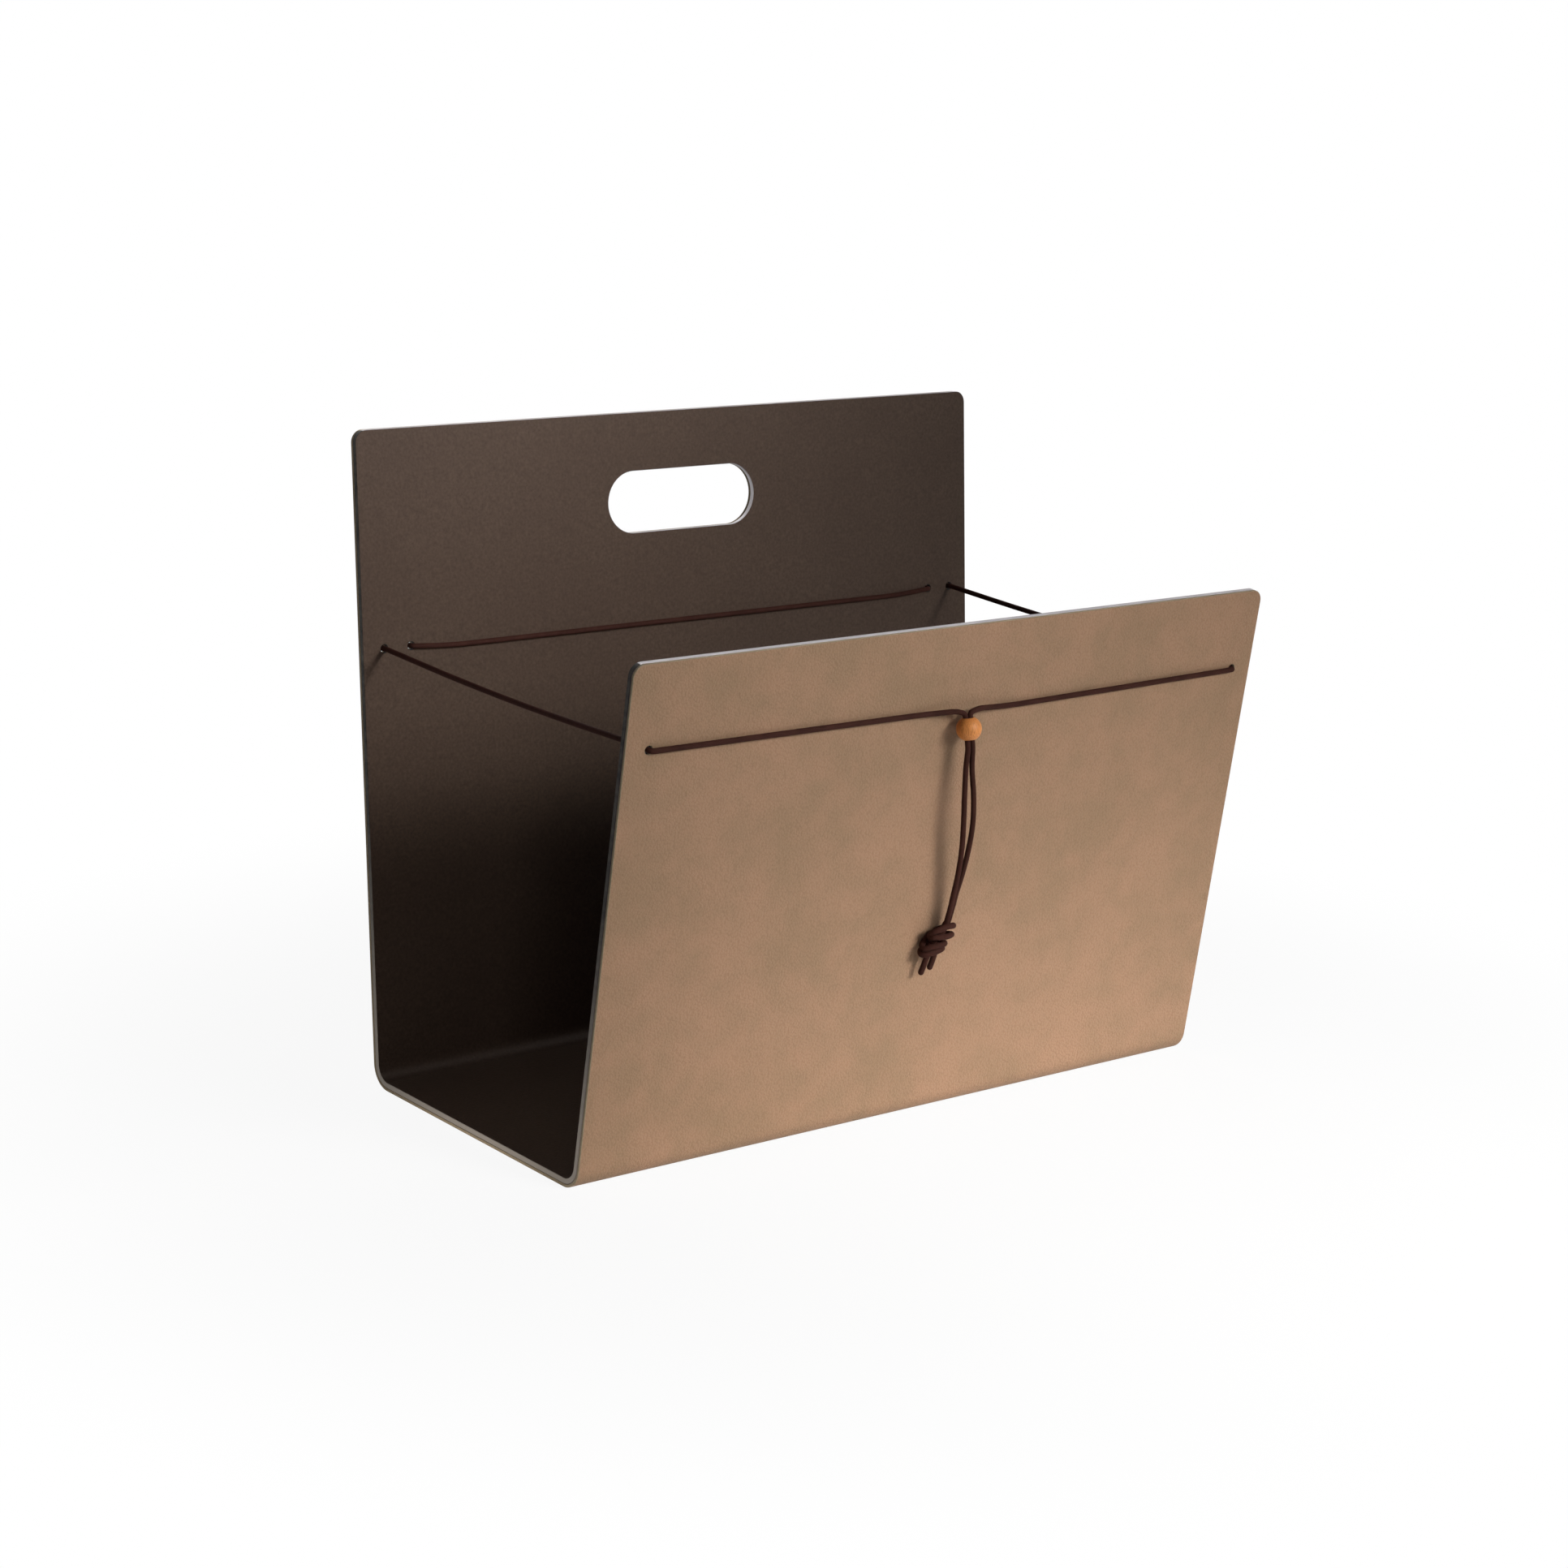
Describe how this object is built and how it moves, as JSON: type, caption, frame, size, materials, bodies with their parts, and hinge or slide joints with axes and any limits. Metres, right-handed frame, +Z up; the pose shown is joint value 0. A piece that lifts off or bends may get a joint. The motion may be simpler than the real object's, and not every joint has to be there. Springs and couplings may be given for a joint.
{
  "type": "magazine basket",
  "caption": "Open-ended magazine basket: one folded plate covered outside with leather, with a hand slot, a lacing cord through both walls and a wooden bead that slides on its ends.",
  "frame": {"origin": "on the floor, midway between the two open ends, and midway from the front of the bead to the top edge of the back", "axes": "+X along the width, to the right when seen from the lower front wall; +Y from the front wall to the tall back wall; +Z up"},
  "size_m": [0.38, 0.2402, 0.3175],
  "materials": {
    "leather": "tan bonded leather with a fine pebble grain, cut edges left raw",
    "plate": "dark brown fine-textured coating inside, bare matte edges",
    "cord": "dark brown round leather cord, semi-gloss",
    "bead": "turned honey-coloured wood, satin"
  },
  "bodies": {
    "basket": {"leather_cover": "leather", "plate": "plate", "lacing_cord": "cord", "tail_left": "cord", "tail_right": "cord", "knot": "cord"},
    "bead": {"bead": "bead"}
  },
  "joints": [
    {"name": "bead_slide", "type": "slide", "parent": "basket", "child": "bead", "axis": [0.0651, 0.1345, -0.9888], "range_m": [0, 0.092], "deforming": ["tail_left", "tail_right"]}
  ]
}
